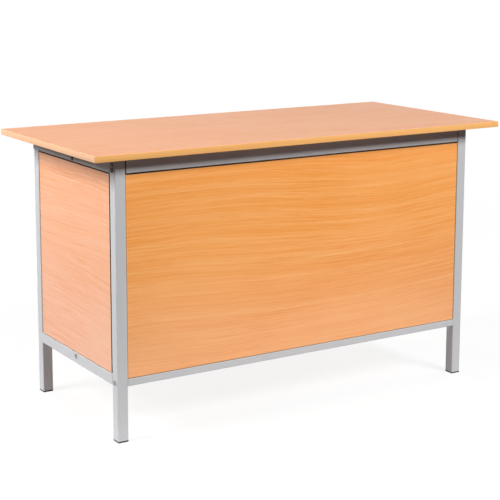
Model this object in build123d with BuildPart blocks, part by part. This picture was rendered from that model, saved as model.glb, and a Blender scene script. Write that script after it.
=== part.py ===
from build123d import *
import os

# Teacher desk: two welded side frames tied by four bolted rails, boards set into the frame,
# a beech worktop, and a pedestal with a drawer above a cupboard.
# +X runs along the desk, -Y is the side that faces the class, +Z is up. The origin is on the
# floor under the middle of the worktop. Millimetres throughout.

os.makedirs("parts", exist_ok=True)

# ---------------------------------------------------------------- driving dimensions
desk_width = 1300.0
desk_depth = 600.0
desk_height = 760.0
side_overhang = 78.0          # worktop past the frame's outer faces
front_overhang = 50.0
rear_overhang = 45.0

board = 16.0                  # faced chipboard, every board of the desk
worktop_edging_size = 2.0     # thickness of the strip round the worktop
worktop_edging_bevel = 0.8
thin_edging = 1.0             # thickness of the strip round the other boards
seam = 0.1                    # joint line between two strips, or a strip and its neighbour

leg = 30.0                    # square tube of the legs
wall = 1.5                    # wall of every tube
tube_round = 2.5              # outer corner of every tube
rail_depth = leg              # front-to-back size of the four bolted rails
top_rail_height = 40.0
bottom_rail_height = 20.0
side_bottom_rail_height = 30.0
bottom_rail_clearance = 148.0 # floor to the underside of the front and side bottom rails
middle_rail_y = 0.0           # the two middle rails stand at mid depth
rail_end_inset = 3.0          # side top rail's end short of the rear leg's rear face

plug_play = 0.2               # a plastic plug inside its tube, all round
cap_flange = 2.0              # leg cap's flange, and the spacers level with it
end_cap_flange = 7.0
end_cap_chamfer = 1.5
foot_flange = 4.0
foot_chamfer = 0.8
foot_groove_rises = (4.0, 12.0)   # two grooves leave the ribs that grip the tube
foot_groove_height = 4.0
foot_core = 20.0              # square core between the foot's ribs
plug_flange = 2.0             # top rail plugs' flange, between rail and leg
flush = 0.0                   # the bottom rails' plugs have no flange
plug_length = 20.0
plug_chamfer = 1.0
flange_chamfer = 1.5
cap_depth = 12.0

bolt_radius = 3.0             # M6
bolt_head_radius = 6.0
bolt_head_height = 3.6
bolt_length = 50.0
bolt_hole_play = 0.3
top_bolt_drops = (20.0, 33.0) # centres of the two stacked bolts below the worktop
thread_play = 0.05            # any screw in its own hole, on the radius

tab_width = 30.0              # welded fixing tabs
tab_reach = 25.0
tab_thickness = 2.0
spacer_size = 18.0
rail_tab_inset = 72.0         # worktop tab from each leg, along the side rail
cross_tab_x = 300.0           # worktop tabs of the front and middle rails, off the middle
panel_tab_low = 62.0          # panel tabs above the panel's lower end and below its upper end
panel_tab_high = 69.0

panel_setback = 2.0           # panel faces behind the outer faces of the frame
panel_gap_top = 3.0           # above the front and side panels
panel_play = 0.2              # front panel to each leg, side panel to the rear leg
side_panel_gap = 7.0          # side panel to the front leg

pedestal_width = 400.0
pedestal_gap = 2.0            # pedestal to the frame's inner face
pedestal_setback = 3.0        # pedestal's front edges behind the rear leg's rear face
pedestal_rear_space = 24.0    # pedestal's back edge to the front panel
back_board = 3.0
back_board_inset = 1.0        # its edges inside the pedestal's outline
drawer_opening = 120.0
front_gap = 2.5               # round the drawer front and the door
shelf_setback = 36.0          # loose shelf's front edge behind the door
shelf_rear_space = 8.0
shelf_play = 0.7              # at each end
shelf_seat = 0.2              # shelf above its pins
shelf_pin_radius = 2.5
shelf_pin_length = 17.0
shelf_pin_depth = 8.0         # of it in the pedestal's side
shelf_pin_bore_spare = 1.0    # bore past the pin's end
shelf_pin_inset = 42.0        # from the shelf's front and back edges

drawer_box_height = 90.0
drawer_box_rise = 4.5         # underside of the box above the lower edge of the drawer's front
drawer_rear_space = 44.0      # drawer's back edge to the pedestal's back
drawer_board = 12.0
drawer_bottom_board = 3.0
drawer_groove = 5.0           # how far the drawer's bottom enters its grooves
drawer_groove_play = 0.1
drawer_bottom_rise = 8.0      # underside of the box to the underside of its bottom

runner_space = 12.5           # cabinet side to drawer side
runner_sheet = 1.2
channel_width = 10.5
channel_end_space = 2.0       # channel's ends from the drawer front and past the drawer's rear
channel_rise = 2.0            # underside of the channel above the underside of the box
roller_play = 0.3             # roller to the flange it carries, or that carries it
roller_lift = 2.1             # front roller above the channel's lower flange
member_gap = 0.6              # drawer's flange above the channel
front_roller_radius = 11.0
front_roller_width = 8.0
rear_roller_smaller = 0.5     # rear roller's radius, less than the front one's
rear_roller_width = 6.5
front_roller_inset = 14.0     # axle from the channel's front end
rear_roller_inset = 12.0      # axle from the drawer's rear end
front_roller_side = 0.6       # roller to the channel's web
rear_roller_side = 0.4        # roller to the drawer member's web
upper_flange_stop = 3.0       # channel's upper flange ends this far behind the front roller
drawer_flange_space = 2.5     # drawer's upper flange to the pedestal's side
drawer_flange_inset = 0.5     # drawer's lower flange short of the side's inner face
axle_radius = 2.5
axle_head_radius = 4.0
axle_head_thickness = 0.8
axle_play = 0.05
axle_end_play = 0.3

hinge_height = 60.0
hinge_leaf = 1.2
hinge_leaf_width = 23.0
hinge_clear = 0.2             # each leaf's free face to the plane of the pin
knuckle_radius = 2.7
hinge_pin_radius = 1.5
hinge_leaf_clear = 0.4        # leaf to the far side of its knuckles
pin_head = 1.2
pin_head_radius = 2.4
hinge_play = 0.05
knuckle_gap = 0.3
knuckle_clear = 0.3           # knuckles in front of the pedestal's front edges
hinge_inset = 76.0            # centre of each hinge from the door's end

door_lock_inset = 31.5        # lock's axis from the door's free edge
lock_barrel_radius = 9.0
lock_core_radius = 6.0
lock_core_play = 0.05
lock_core_recess = 0.6        # core's face behind the flange's face
lock_core_tail = 2.0          # core behind the nut
key_slot = (1.6, 7.0)
key_slot_depth = 4.0
lock_hole_play = 0.2
lock_flange_radius = 11.5
lock_flange_height = 2.0
lock_nut = 22.0
lock_nut_thickness = 3.0
lock_thread_play = 0.1
lock_nut_gap = 4.3            # corner of the nut under the strike
tongue_gap = 2.0              # end of the raised tongue under the strike's foot
tongue_width = 14.0
tongue_thickness = 2.5
tongue_round = 2.0
tongue_play = 0.2             # core to tongue, and tongue to its nut
tongue_square = 6.0           # squared end of the core, which turns the tongue
tongue_square_play = 0.1
tongue_nut_radius = 4.8
tongue_nut_thickness = 1.5
strike_sheet = 1.5
strike_width = 20.0
strike_drop = 12.0
strike_foot = 14.0
strike_gap = 1.0              # strike to the drawer front's or the door's rear face

handle_pitch = 96.0
handle_rise = 30.0
handle_width = 12.0
handle_bar = 5.0
handle_foot = 14.0
drawer_handle_rise = 36.5     # above the lower edge of the drawer's front
door_handle_drop = 41.0       # from the door's lock to the handle's upper foot

# ---------------------------------------------------------------- places worked out from them
worktop_underside = desk_height - board
frame_outer = desk_width / 2 - side_overhang
frame_inner = frame_outer - leg
frame_front = -desk_depth / 2 + front_overhang
frame_rear = desk_depth / 2 - rear_overhang
rail_top = worktop_underside - cap_flange
top_rail_underside = rail_top - top_rail_height
front_leg_y = frame_front + leg / 2
rear_leg_y = frame_rear - leg / 2
side_rail_front = frame_front + leg
side_rail_end = frame_rear - rail_end_inset
side_bottom_rail_top = bottom_rail_clearance + side_bottom_rail_height
front_bottom_rail_top = bottom_rail_clearance + bottom_rail_height

# Each bolted rail: centre in Y and Z, height, its plugs' flange, and the heights of its bolts.
top_bolt_heights = [worktop_underside - drop for drop in top_bolt_drops]
rails = {
    "front_top_rail": (frame_front + rail_depth / 2,
                       rail_top - top_rail_height / 2, top_rail_height, plug_flange,
                       top_bolt_heights),
    "front_bottom_rail": (frame_front + rail_depth / 2,
                          bottom_rail_clearance + bottom_rail_height / 2, bottom_rail_height,
                          flush, [bottom_rail_clearance + bottom_rail_height / 2]),
    "middle_top_rail": (middle_rail_y, rail_top - top_rail_height / 2, top_rail_height,
                        plug_flange, top_bolt_heights),
    "middle_bottom_rail": (middle_rail_y, side_bottom_rail_top - bottom_rail_height / 2,
                           bottom_rail_height, flush,
                           [side_bottom_rail_top - bottom_rail_height / 2]),
}
bolt_places = {name: [(y, height) for height in heights]
               for name, (y, _, _, _, heights) in rails.items()}

pedestal_left = -frame_inner + pedestal_gap
pedestal_right = pedestal_left + pedestal_width
pedestal_middle = (pedestal_left + pedestal_right) / 2
pedestal_front = frame_rear - pedestal_setback
front_panel_back = frame_front + panel_setback + board
pedestal_back = front_panel_back + pedestal_rear_space
pedestal_bottom = side_bottom_rail_top
pedestal_top_height = top_rail_underside
cabinet_left = pedestal_left + board            # inner faces of the pedestal's sides
cabinet_right = pedestal_right - board
cabinet_bottom = pedestal_bottom + board
cabinet_top = pedestal_top_height - board
divider_top = cabinet_top - drawer_opening
divider_bottom = divider_top - board
front_back_face = pedestal_front - board        # rear face of the drawer front and door

hinge_offset = hinge_leaf + hinge_clear
hinge_x = cabinet_left + hinge_offset
hinge_y = pedestal_front + knuckle_radius + knuckle_clear
front_left = hinge_x + hinge_offset             # left edge of the drawer front and the door
front_right = cabinet_right - front_gap
door_bottom = cabinet_bottom + front_gap
door_top = divider_bottom - front_gap
drawer_front_bottom = divider_top + front_gap
drawer_front_top = cabinet_top - front_gap

drawer_left = cabinet_left + runner_space       # outer faces of the drawer's sides
drawer_right = cabinet_right - runner_space
drawer_rear = pedestal_back + drawer_rear_space
drawer_bottom_edge = drawer_front_bottom + drawer_box_rise
drawer_top_edge = drawer_bottom_edge + drawer_box_height
groove_bottom = drawer_bottom_edge + drawer_bottom_rise
groove_top = groove_bottom + drawer_bottom_board + 2 * drawer_groove_play

channel_bottom = drawer_bottom_edge + channel_rise
channel_rear = drawer_rear - channel_end_space
channel_front = front_back_face - channel_end_space
front_roller_y = channel_front - front_roller_inset
front_roller_z = channel_bottom + runner_sheet + roller_lift + front_roller_radius
flange_underside = front_roller_z + front_roller_radius + roller_play
channel_top = flange_underside - member_gap
rear_roller_radius = front_roller_radius - rear_roller_smaller
rear_roller_y = drawer_rear + rear_roller_inset
rear_roller_z = channel_bottom + runner_sheet + roller_play + rear_roller_radius

handle_drawer_z = drawer_front_bottom + drawer_handle_rise
lock_drop = strike_drop + lock_nut_gap + lock_nut / 3 ** 0.5
drawer_lock = (pedestal_middle, cabinet_top - lock_drop)
door_lock = (front_right - door_lock_inset, divider_bottom - lock_drop)
tongue_length = lock_drop - strike_sheet - tongue_gap
door_handle_x = door_lock[0]
door_handle_z = door_lock[1] - door_handle_drop - handle_pitch / 2


# ---------------------------------------------------------------- shared features
def save(piece, name):
    """Name a finished piece and write it."""
    piece.part.label = name
    export_step(piece.part, f"parts/{name}.step")


def slab(plane, low, high, thickness, mode=Mode.ADD):
    """A rectangle between two corners of a plane, extruded along the plane's normal."""
    with BuildSketch(plane) as outline:
        with Locations(((low[0] + high[0]) / 2, (low[1] + high[1]) / 2)):
            Rectangle(high[0] - low[0], high[1] - low[1])
    extrude(outline.sketch, amount=thickness, mode=mode)


def box_tube(plane, centre, width, height, length):
    """A rounded box section of the shared wall, drawn on a plane and extruded."""
    with BuildSketch(plane) as section:
        with Locations(centre):
            RectangleRounded(width, height, tube_round)
            Rectangle(width - 2 * wall, height - 2 * wall, mode=Mode.SUBTRACT)
    extrude(section.sketch, amount=length)


def flange(plane, centre, width, height, thickness):
    """The visible rim of a plastic plug, as large as the tube, with its corners cut."""
    with BuildSketch(plane) as outline:
        with Locations(centre):
            Rectangle(width, height)
        chamfer(outline.vertices(), flange_chamfer)
    extrude(outline.sketch, amount=thickness)


def plug(plane, centre, width, height, length):
    """The body of a plastic plug for a tube of this outside size."""
    with BuildSketch(plane) as outline:
        with Locations(centre):
            Rectangle(width - 2 * (wall + plug_play), height - 2 * (wall + plug_play))
        chamfer(outline.vertices(), plug_chamfer)
    extrude(outline.sketch, amount=length)


def drill(mouths, outward, radius, depth):
    """Round holes: each mouth is a point on a face, and outward is that face's normal."""
    with Locations(*[Plane(origin=mouth, z_dir=outward) for mouth in mouths]):
        Hole(radius, depth)


def disc(plane, centre, radius, thickness):
    """A round disc or pin standing on a plane."""
    with BuildSketch(plane) as outline:
        with Locations(centre):
            Circle(radius)
    extrude(outline.sketch, amount=thickness)


def edging_frame(plane, low, high, thickness, depth):
    """Four strips round a board's edge; low and high are the finished outer corners."""
    slab(plane, low, (high[0], low[1] + thickness), depth)
    slab(plane, (low[0], high[1] - thickness), high, depth)
    slab(plane, (low[0], low[1] + thickness + seam),
         (low[0] + thickness, high[1] - thickness - seam), depth)
    slab(plane, (high[0] - thickness, low[1] + thickness + seam),
         (high[0], high[1] - thickness - seam), depth)


def mirror_desk():
    """Repeat the current part on the desk's other side."""
    mirror(about=Plane.YZ)


def mirror_pedestal():
    """Repeat the current part on the pedestal's other side."""
    mirror(about=Plane.YZ.offset(pedestal_middle))


def facing_rear(y):
    """Plane at y with normal +Y; its axes are -X and +Z."""
    return Plane(origin=(0, y, 0), x_dir=(-1, 0, 0), z_dir=(0, 1, 0))


def facing_front(y):
    """Plane at y with normal -Y; its axes are +X and +Z."""
    return Plane(origin=(0, y, 0), x_dir=(1, 0, 0), z_dir=(0, -1, 0))


def across(x):
    """Plane at x with normal +X; its axes are +Y and +Z."""
    return Plane.YZ.offset(x)


left, right, rearward, frontward = (-1, 0, 0), (1, 0, 0), (0, 1, 0), (0, -1, 0)

# ---------------------------------------------------------------- side frames
bolt_hole_radius = bolt_radius + bolt_hole_play
front_leg_bolts = bolt_places["front_top_rail"] + bolt_places["front_bottom_rail"]

with BuildPart() as left_front_leg:
    box_tube(Plane.XY.offset(foot_flange), (-frame_outer + leg / 2, front_leg_y), leg, leg,
             rail_top - foot_flange)
    drill([(-frame_outer, y, z) for y, z in front_leg_bolts], left, bolt_hole_radius, leg)
save(left_front_leg, "left_front_leg")

with BuildPart() as left_rear_leg:
    box_tube(Plane.XY.offset(foot_flange), (-frame_outer + leg / 2, rear_leg_y), leg, leg,
             top_rail_underside - foot_flange)
save(left_rear_leg, "left_rear_leg")

with BuildPart() as left_top_rail:
    box_tube(facing_rear(side_rail_front), (frame_outer - leg / 2, rail_top - top_rail_height / 2),
             leg, top_rail_height, side_rail_end - side_rail_front)
    drill([(-frame_outer, y, z) for y, z in bolt_places["middle_top_rail"]], left,
          bolt_hole_radius, leg)
save(left_top_rail, "left_top_rail")

with BuildPart() as left_bottom_rail:
    box_tube(facing_rear(side_rail_front),
             (frame_outer - leg / 2, bottom_rail_clearance + side_bottom_rail_height / 2),
             leg, side_bottom_rail_height, frame_rear - leg - side_rail_front)
    drill([(-frame_outer, y, z) for y, z in bolt_places["middle_bottom_rail"]], left,
          bolt_hole_radius, leg)
save(left_bottom_rail, "left_bottom_rail")

for name, piece in (("right_front_leg", left_front_leg), ("right_rear_leg", left_rear_leg),
                    ("right_top_rail", left_top_rail), ("right_bottom_rail", left_bottom_rail)):
    with BuildPart() as opposite:
        mirror(piece.part, about=Plane.YZ)
    save(opposite, name)

# ---------------------------------------------------------------- bolted rails and their ends
for name, (rail_y, rail_z, height, rim, _) in rails.items():
    with BuildPart() as rail:
        box_tube(across(rim - frame_inner), (rail_y, rail_z), rail_depth, height,
                 2 * (frame_inner - rim))
    save(rail, name)

with BuildPart() as rail_end_plugs:
    for rail_y, rail_z, height, rim, heights in rails.values():
        if rim > 0:
            flange(across(-frame_inner), (rail_y, rail_z), rail_depth, height, rim)
        plug(across(rim - frame_inner), (rail_y, rail_z), rail_depth, height, plug_length)
        drill([(-frame_inner, rail_y, z) for z in heights], left, bolt_radius + thread_play,
              rim + plug_length)
    mirror_desk()
save(rail_end_plugs, "rail_end_plugs")

with BuildPart() as frame_bolts:
    for places in bolt_places.values():
        for y, z in places:
            disc(across(-frame_outer), (y, z), bolt_radius, bolt_length)
            disc(across(-frame_outer - bolt_head_height), (y, z), bolt_head_radius,
                 bolt_head_height)
    mirror_desk()
save(frame_bolts, "frame_bolts")

# ---------------------------------------------------------------- plastic caps and feet
with BuildPart() as leg_caps:
    leg_centre = (-frame_outer + leg / 2, front_leg_y)
    flange(Plane.XY.offset(rail_top), leg_centre, leg, leg, cap_flange)
    plug(Plane.XY.offset(rail_top - cap_depth), leg_centre, leg, leg, cap_depth)
    mirror_desk()
save(leg_caps, "leg_caps")

with BuildPart() as rail_end_caps:
    rail_centre = (frame_outer - leg / 2, rail_top - top_rail_height / 2)
    flange(facing_rear(side_rail_end), rail_centre, leg, top_rail_height, end_cap_flange)
    chamfer(faces().sort_by(Axis.Y)[-1].edges(), end_cap_chamfer)
    plug(facing_rear(side_rail_end - plug_length), rail_centre, leg, top_rail_height, plug_length)
    mirror_desk()
save(rail_end_caps, "rail_end_caps")

with BuildPart() as feet:
    for foot_y in (front_leg_y, rear_leg_y):
        foot_centre = (-frame_outer + leg / 2, foot_y)
        flange(Plane.XY, foot_centre, leg, leg, foot_flange)
        plug(Plane.XY.offset(foot_flange), foot_centre, leg, leg, plug_length)
        for rise in foot_groove_rises:
            with BuildSketch(Plane.XY.offset(foot_flange + rise)) as groove:
                with Locations(foot_centre):
                    Rectangle(leg, leg)
                    Rectangle(foot_core, foot_core, mode=Mode.SUBTRACT)
            extrude(groove.sketch, amount=foot_groove_height, mode=Mode.SUBTRACT)
    chamfer(edges().group_by(Axis.Z)[0], foot_chamfer)
    mirror_desk()
save(feet, "feet")

# ---------------------------------------------------------------- welded fixing tabs
# A worktop tab is welded where the rail's side becomes flat, below the rounding of its top.
tab_top = rail_top - tube_round
worktop_tab_corners = []
worktop_tab_centres = []
for tab_y in (side_rail_front + rail_tab_inset, frame_rear - leg - rail_tab_inset):
    worktop_tab_corners.append(((-frame_inner, tab_y - tab_width / 2),
                                (-frame_inner + tab_reach, tab_y + tab_width / 2)))
    worktop_tab_centres.append((-frame_inner + tab_reach / 2, tab_y))
for rail_name in ("front_top_rail", "middle_top_rail"):
    rail_rear_face = rails[rail_name][0] + rail_depth / 2
    worktop_tab_corners.append(((-cross_tab_x - tab_width / 2, rail_rear_face),
                                (-cross_tab_x + tab_width / 2, rail_rear_face + tab_reach)))
    worktop_tab_centres.append((-cross_tab_x, rail_rear_face + tab_reach / 2))

# Panel tabs stand at two heights behind each panel.
side_panel_inner = -frame_outer + panel_setback + board
side_panel_front = side_rail_front + side_panel_gap
side_panel_rear = frame_rear - leg - panel_play
panel_top = top_rail_underside - panel_gap_top
tab_heights = (side_bottom_rail_top + panel_tab_low, panel_top - panel_tab_high)
front_tab_reach = tab_reach + side_panel_gap

with BuildPart() as fixing_tabs:
    for low, high in worktop_tab_corners:
        slab(Plane.XY.offset(tab_top - tab_thickness), low, high, tab_thickness)
    for z in tab_heights:
        slab(facing_front(front_panel_back + tab_thickness), (-frame_inner, z - tab_width / 2),
             (-frame_inner + tab_reach, z + tab_width / 2), tab_thickness)
        slab(across(side_panel_inner), (side_rail_front, z - tab_width / 2),
             (side_rail_front + front_tab_reach, z + tab_width / 2), tab_thickness)
        slab(across(side_panel_inner), (frame_rear - leg - tab_reach, z - tab_width / 2),
             (frame_rear - leg, z + tab_width / 2), tab_thickness)
    mirror_desk()
save(fixing_tabs, "fixing_tabs")

with BuildPart() as worktop_spacers:
    with BuildSketch(Plane.XY.offset(tab_top)) as pads:
        with Locations(*worktop_tab_centres):
            Rectangle(spacer_size, spacer_size)
    extrude(pads.sketch, amount=worktop_underside - tab_top)
    mirror_desk()
save(worktop_spacers, "worktop_spacers")

# ---------------------------------------------------------------- worktop
with BuildPart() as worktop:
    slab(Plane.XY.offset(worktop_underside),
         (-desk_width / 2 + worktop_edging_size, -desk_depth / 2 + worktop_edging_size),
         (desk_width / 2 - worktop_edging_size, desk_depth / 2 - worktop_edging_size), board)
save(worktop, "worktop")

with BuildPart() as worktop_edging:
    edging_frame(Plane.XY.offset(worktop_underside), (-desk_width / 2, -desk_depth / 2),
                 (desk_width / 2, desk_depth / 2), worktop_edging_size, board)
    long_edges = edges().filter_by(Axis.X)
    chamfer(long_edges.group_by(Axis.Y)[0] + long_edges.group_by(Axis.Y)[-1],
            worktop_edging_bevel)
    cross_edges = edges().filter_by(Axis.Y)
    chamfer(cross_edges.group_by(Axis.X)[0] + cross_edges.group_by(Axis.X)[-1],
            worktop_edging_bevel)
save(worktop_edging, "worktop_edging")

# ---------------------------------------------------------------- panels
front_panel_low = (-frame_inner + panel_play, front_bottom_rail_top)
front_panel_high = (frame_inner - panel_play, panel_top)
side_panel_face = -frame_outer + panel_setback
side_panel_low = (side_panel_front, side_bottom_rail_top)
side_panel_high = (side_panel_rear, panel_top)


def inset(low, high, margin):
    """Two corners moved inwards by a margin."""
    return (low[0] + margin, low[1] + margin), (high[0] - margin, high[1] - margin)


with BuildPart() as front_panel:
    slab(facing_front(front_panel_back), *inset(front_panel_low, front_panel_high, thin_edging),
         board)
save(front_panel, "front_panel")

with BuildPart() as left_side_panel:
    slab(across(side_panel_face), *inset(side_panel_low, side_panel_high, thin_edging), board)
save(left_side_panel, "left_side_panel")

with BuildPart() as right_side_panel:
    mirror(left_side_panel.part, about=Plane.YZ)
save(right_side_panel, "right_side_panel")

with BuildPart() as panel_edging:
    edging_frame(across(side_panel_face), side_panel_low, side_panel_high, thin_edging, board)
    mirror_desk()
    edging_frame(facing_front(front_panel_back), front_panel_low, front_panel_high, thin_edging,
                 board)
save(panel_edging, "panel_edging")

# ---------------------------------------------------------------- pedestal carcass
carcass_front = pedestal_front - thin_edging
shelf_underside = (cabinet_bottom + divider_bottom - board) / 2
shelf_rear = pedestal_back + shelf_rear_space
shelf_front = front_back_face - shelf_setback
shelf_pin_z = shelf_underside - shelf_seat - shelf_pin_radius
shelf_pin_depths = (shelf_rear + shelf_pin_inset, shelf_front - shelf_pin_inset)
hinge_bottoms = [centre - hinge_height / 2 for centre in
                 (door_bottom + hinge_inset, door_top - hinge_inset)]

for name, near, mouth, outward in (
        ("pedestal_left_side", pedestal_left, cabinet_left, right),
        ("pedestal_right_side", cabinet_right, cabinet_right, left)):
    with BuildPart() as upright:
        slab(across(near), (pedestal_back, pedestal_bottom), (carcass_front, pedestal_top_height),
             board)
        drill([(mouth, y, shelf_pin_z) for y in shelf_pin_depths], outward,
              shelf_pin_radius + thread_play, shelf_pin_depth + shelf_pin_bore_spare)
    save(upright, name)

for name, bottom in (("pedestal_top", cabinet_top), ("pedestal_divider", divider_bottom),
                     ("pedestal_floor", pedestal_bottom)):
    with BuildPart() as level:
        slab(Plane.XY.offset(bottom), (cabinet_left, pedestal_back),
             (cabinet_right, carcass_front), board)
    save(level, name)

with BuildPart() as pedestal_back_board:
    slab(facing_front(pedestal_back),
         *inset((pedestal_left, pedestal_bottom), (pedestal_right, pedestal_top_height),
                back_board_inset),
         back_board)
save(pedestal_back_board, "pedestal_back_board")

with BuildPart() as pedestal_shelf:
    slab(Plane.XY.offset(shelf_underside), (cabinet_left + shelf_play, shelf_rear),
         (cabinet_right - shelf_play, shelf_front), board)
save(pedestal_shelf, "pedestal_shelf")

with BuildPart() as shelf_pins:
    for y in shelf_pin_depths:
        disc(across(cabinet_left - shelf_pin_depth), (y, shelf_pin_z), shelf_pin_radius,
             shelf_pin_length)
    mirror_pedestal()
save(shelf_pins, "shelf_pins")

# The pedestal's front edges: two uprights with three strips between them.
with BuildPart() as pedestal_edging:
    for low_x, high_x in ((pedestal_left, cabinet_left), (cabinet_right, pedestal_right)):
        slab(facing_front(pedestal_front), (low_x, pedestal_bottom),
             (high_x, pedestal_top_height), thin_edging)
    for bottom in (cabinet_top, divider_bottom, pedestal_bottom):
        slab(facing_front(pedestal_front), (cabinet_left + seam, bottom),
             (cabinet_right - seam, bottom + board), thin_edging)
save(pedestal_edging, "pedestal_edging")

# ---------------------------------------------------------------- drawer runners and rollers
cabinet_web = cabinet_left + runner_sheet       # channel web's inner face
drawer_web = drawer_left - runner_sheet         # drawer member's outer face
front_roller_x = cabinet_web + front_roller_side
rear_roller_x = drawer_web - rear_roller_side - rear_roller_width
upper_flange_front = front_roller_y - front_roller_radius - upper_flange_stop

with BuildPart() as cabinet_runners:
    slab(across(cabinet_left), (channel_rear, channel_bottom), (channel_front, channel_top),
         runner_sheet)
    slab(Plane.XY.offset(channel_bottom), (cabinet_left, channel_rear),
         (cabinet_left + channel_width, channel_front), runner_sheet)
    slab(Plane.XY.offset(channel_top - runner_sheet), (cabinet_left, channel_rear),
         (cabinet_left + channel_width, upper_flange_front), runner_sheet)
    axle_end = front_roller_x + front_roller_width + axle_end_play
    axle_centre = (front_roller_y, front_roller_z)
    disc(across(cabinet_left), axle_centre, axle_radius, axle_end - cabinet_left)
    disc(across(axle_end), axle_centre, axle_head_radius, axle_head_thickness)
    mirror_pedestal()
save(cabinet_runners, "cabinet_runners")

with BuildPart() as drawer_runners:
    slab(across(drawer_web), (drawer_rear, drawer_bottom_edge - runner_sheet),
         (front_back_face, flange_underside + runner_sheet), runner_sheet)
    slab(Plane.XY.offset(drawer_bottom_edge - runner_sheet), (drawer_web, drawer_rear),
         (drawer_left + drawer_board - drawer_flange_inset, front_back_face), runner_sheet)
    slab(Plane.XY.offset(flange_underside), (cabinet_left + drawer_flange_space, drawer_rear),
         (drawer_left, front_back_face), runner_sheet)
    axle_end = rear_roller_x - axle_end_play
    axle_centre = (rear_roller_y, rear_roller_z)
    disc(across(axle_end - axle_head_thickness), axle_centre, axle_head_radius,
         axle_head_thickness)
    disc(across(axle_end), axle_centre, axle_radius, drawer_web - axle_end)
    mirror_pedestal()
save(drawer_runners, "drawer_runners")

for name, x, y, z, radius, width in (
        ("cabinet_rollers", front_roller_x, front_roller_y, front_roller_z, front_roller_radius,
         front_roller_width),
        ("drawer_rollers", rear_roller_x, rear_roller_y, rear_roller_z, rear_roller_radius,
         rear_roller_width)):
    with BuildPart() as rollers:
        with BuildSketch(across(x)):
            with Locations((y, z)):
                Circle(radius)
                Circle(axle_radius + axle_play, mode=Mode.SUBTRACT)
        extrude(amount=width)
        mirror_pedestal()
    save(rollers, name)

# ---------------------------------------------------------------- drawer
front_low = (front_left, drawer_front_bottom)
front_high = (front_right, drawer_front_top)

with BuildPart() as drawer_front:
    slab(facing_front(pedestal_front), *inset(front_low, front_high, thin_edging), board)
    slab(Plane.XY.offset(groove_bottom),
         (drawer_left + drawer_board - drawer_groove - drawer_groove_play, front_back_face),
         (drawer_right - drawer_board + drawer_groove + drawer_groove_play,
          front_back_face + drawer_groove + drawer_groove_play),
         groove_top - groove_bottom, mode=Mode.SUBTRACT)
    drill([(drawer_lock[0], pedestal_front, drawer_lock[1])], rearward,
          lock_barrel_radius + lock_hole_play, board)
save(drawer_front, "drawer_front")

with BuildPart() as drawer_front_edging:
    edging_frame(facing_front(pedestal_front), front_low, front_high, thin_edging, board)
save(drawer_front_edging, "drawer_front_edging")

with BuildPart() as drawer_sides:
    slab(across(drawer_left), (drawer_rear, drawer_bottom_edge),
         (front_back_face, drawer_top_edge), drawer_board)
    slab(Plane.XY.offset(groove_bottom),
         (drawer_left + drawer_board - drawer_groove - drawer_groove_play, drawer_rear),
         (drawer_left + drawer_board, front_back_face), groove_top - groove_bottom,
         mode=Mode.SUBTRACT)
    mirror_pedestal()
save(drawer_sides, "drawer_sides")

with BuildPart() as drawer_back:
    slab(facing_front(drawer_rear + drawer_board), (drawer_left + drawer_board, groove_top),
         (drawer_right - drawer_board, drawer_top_edge), drawer_board)
save(drawer_back, "drawer_back")

with BuildPart() as drawer_bottom:
    slab(Plane.XY.offset(groove_bottom + drawer_groove_play),
         (drawer_left + drawer_board - drawer_groove, drawer_rear),
         (drawer_right - drawer_board + drawer_groove, front_back_face + drawer_groove),
         drawer_bottom_board)
save(drawer_bottom, "drawer_bottom")

# ---------------------------------------------------------------- door
door_low = (front_left, door_bottom)
door_high = (front_right, door_top)

with BuildPart() as door:
    slab(facing_front(pedestal_front), *inset(door_low, door_high, thin_edging), board)
    drill([(door_lock[0], pedestal_front, door_lock[1])], rearward,
          lock_barrel_radius + lock_hole_play, board)
save(door, "door")

with BuildPart() as door_edging:
    edging_frame(facing_front(pedestal_front), door_low, door_high, thin_edging, board)
save(door_edging, "door_edging")


# ---------------------------------------------------------------- hinges
def hinge_leaves(side, knuckles):
    """One leaf of each hinge; side is -1 on the cabinet and 1 on the door."""
    near = hinge_x + side * hinge_clear
    far = hinge_x + side * hinge_offset
    plate = (min(near, far), max(near, far))
    neck = knuckle_radius + hinge_leaf_clear
    for bottom in hinge_bottoms:
        slab(Plane.XY.offset(bottom), (plate[0], hinge_y - hinge_leaf_width),
             (plate[1], hinge_y - neck), hinge_height)
        for low, high in knuckles:
            with BuildSketch(Plane.XY.offset(bottom + low)) as ring:
                with Locations((hinge_x, hinge_y)):
                    Circle(knuckle_radius)
                with Locations(((plate[0] + plate[1]) / 2, hinge_y - neck / 2)):
                    Rectangle(hinge_leaf, neck)
                with Locations((hinge_x, hinge_y)):
                    Circle(hinge_pin_radius + hinge_play, mode=Mode.SUBTRACT)
            extrude(ring.sketch, amount=high - low)


third = hinge_height / 3
with BuildPart() as hinge_cabinet_leaves:
    hinge_leaves(-1, ((0, third - knuckle_gap / 2), (2 * third + knuckle_gap / 2, hinge_height)))
save(hinge_cabinet_leaves, "hinge_cabinet_leaves")

with BuildPart() as hinge_door_leaves:
    hinge_leaves(1, ((third + knuckle_gap / 2, 2 * third - knuckle_gap / 2),))
save(hinge_door_leaves, "hinge_door_leaves")

with BuildPart() as hinge_pins:
    for bottom in hinge_bottoms:
        disc(Plane.XY.offset(bottom - pin_head), (hinge_x, hinge_y), pin_head_radius, pin_head)
        disc(Plane.XY.offset(bottom), (hinge_x, hinge_y), hinge_pin_radius, hinge_height)
save(hinge_pins, "hinge_pins")


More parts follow.
